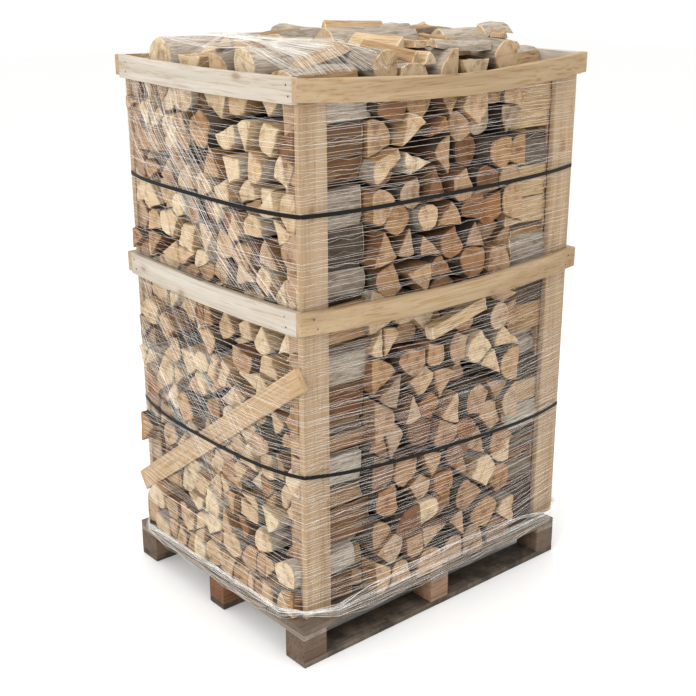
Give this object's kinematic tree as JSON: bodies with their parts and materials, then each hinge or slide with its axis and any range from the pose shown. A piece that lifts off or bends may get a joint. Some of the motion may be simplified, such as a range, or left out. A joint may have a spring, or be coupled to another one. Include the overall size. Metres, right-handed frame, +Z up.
{
  "type": "firewood crate on pallet",
  "caption": "Board crate on a block pallet filled with stacked split firewood, loose logs heaped on top, wrapped in knitted net and held by two flat straps.",
  "frame": {"origin": "on the ground under the middle of the load's box", "axes": "+Z up; -Y is the broad face with log ends, -X the narrow face with the diagonal brace"},
  "size_m": [1.3308, 1.064, 1.945],
  "materials": {
    "pallet_runner": "weathered sawn softwood, dark grey brown",
    "pallet_block": "sawn block with open end grain",
    "pallet_board": "weathered sawn softwood board",
    "post": "fresh sawn softwood, matt",
    "rail_long": "fresh sawn softwood, matt, warm yellow",
    "rail_short": "fresh sawn softwood, matt, pale",
    "brace": "sawn softwood, matt, brown tan",
    "log": "split hardwood with sawn ends and grey brown bark",
    "strap": "embossed black strap, slight sheen",
    "net": "white knitted plastic net, slight sheen"
  },
  "bodies": {
    "root": {"pallet_runner_front": "pallet_runner", "pallet_block_front_left": "pallet_block", "pallet_block_front_middle": "pallet_block", "pallet_block_front_right": "pallet_block", "pallet_runner_middle": "pallet_runner", "pallet_block_middle_left": "pallet_block", "pallet_block_middle_middle": "pallet_block", "pallet_block_middle_right": "pallet_block", "pallet_runner_back": "pallet_runner", "pallet_block_back_left": "pallet_block", "pallet_block_back_middle": "pallet_block", "pallet_block_back_right": "pallet_block", "pallet_cross_board_left": "pallet_board", "pallet_cross_board_middle": "pallet_board", "pallet_cross_board_right": "pallet_board", "pallet_deck_board_1": "pallet_board", "pallet_deck_board_2": "pallet_board", "pallet_deck_board_3": "pallet_board", "pallet_deck_board_4": "pallet_board", "pallet_deck_board_5": "pallet_board", "post_front_left": "post", "post_front_right": "post", "post_back_left": "post", "post_back_right": "post", "rail_top_front": "rail_long", "rail_top_back": "rail_long", "rail_top_left": "rail_short", "rail_top_right": "rail_short", "rail_middle_front": "rail_long", "rail_middle_back": "rail_long", "rail_middle_left": "rail_short", "rail_middle_right": "rail_short", "brace_left": "brace", "log_stack_left": "log", "log_stack_right": "log", "log_stack_front": "log", "log_stack_back": "log", "loose_log_01": "log", "loose_log_02": "log", "loose_log_03": "log", "loose_log_04": "log", "loose_log_05": "log", "loose_log_06": "log", "loose_log_07": "log", "loose_log_08": "log", "loose_log_09": "log", "loose_log_10": "log", "loose_log_11": "log", "loose_log_12": "log", "loose_log_13": "log", "loose_log_14": "log", "loose_log_15": "log", "loose_log_16": "log", "loose_log_17": "log", "loose_log_18": "log", "strap_upper": "strap", "strap_lower": "strap", "net_wrap": "net"}
  },
  "joints": []
}
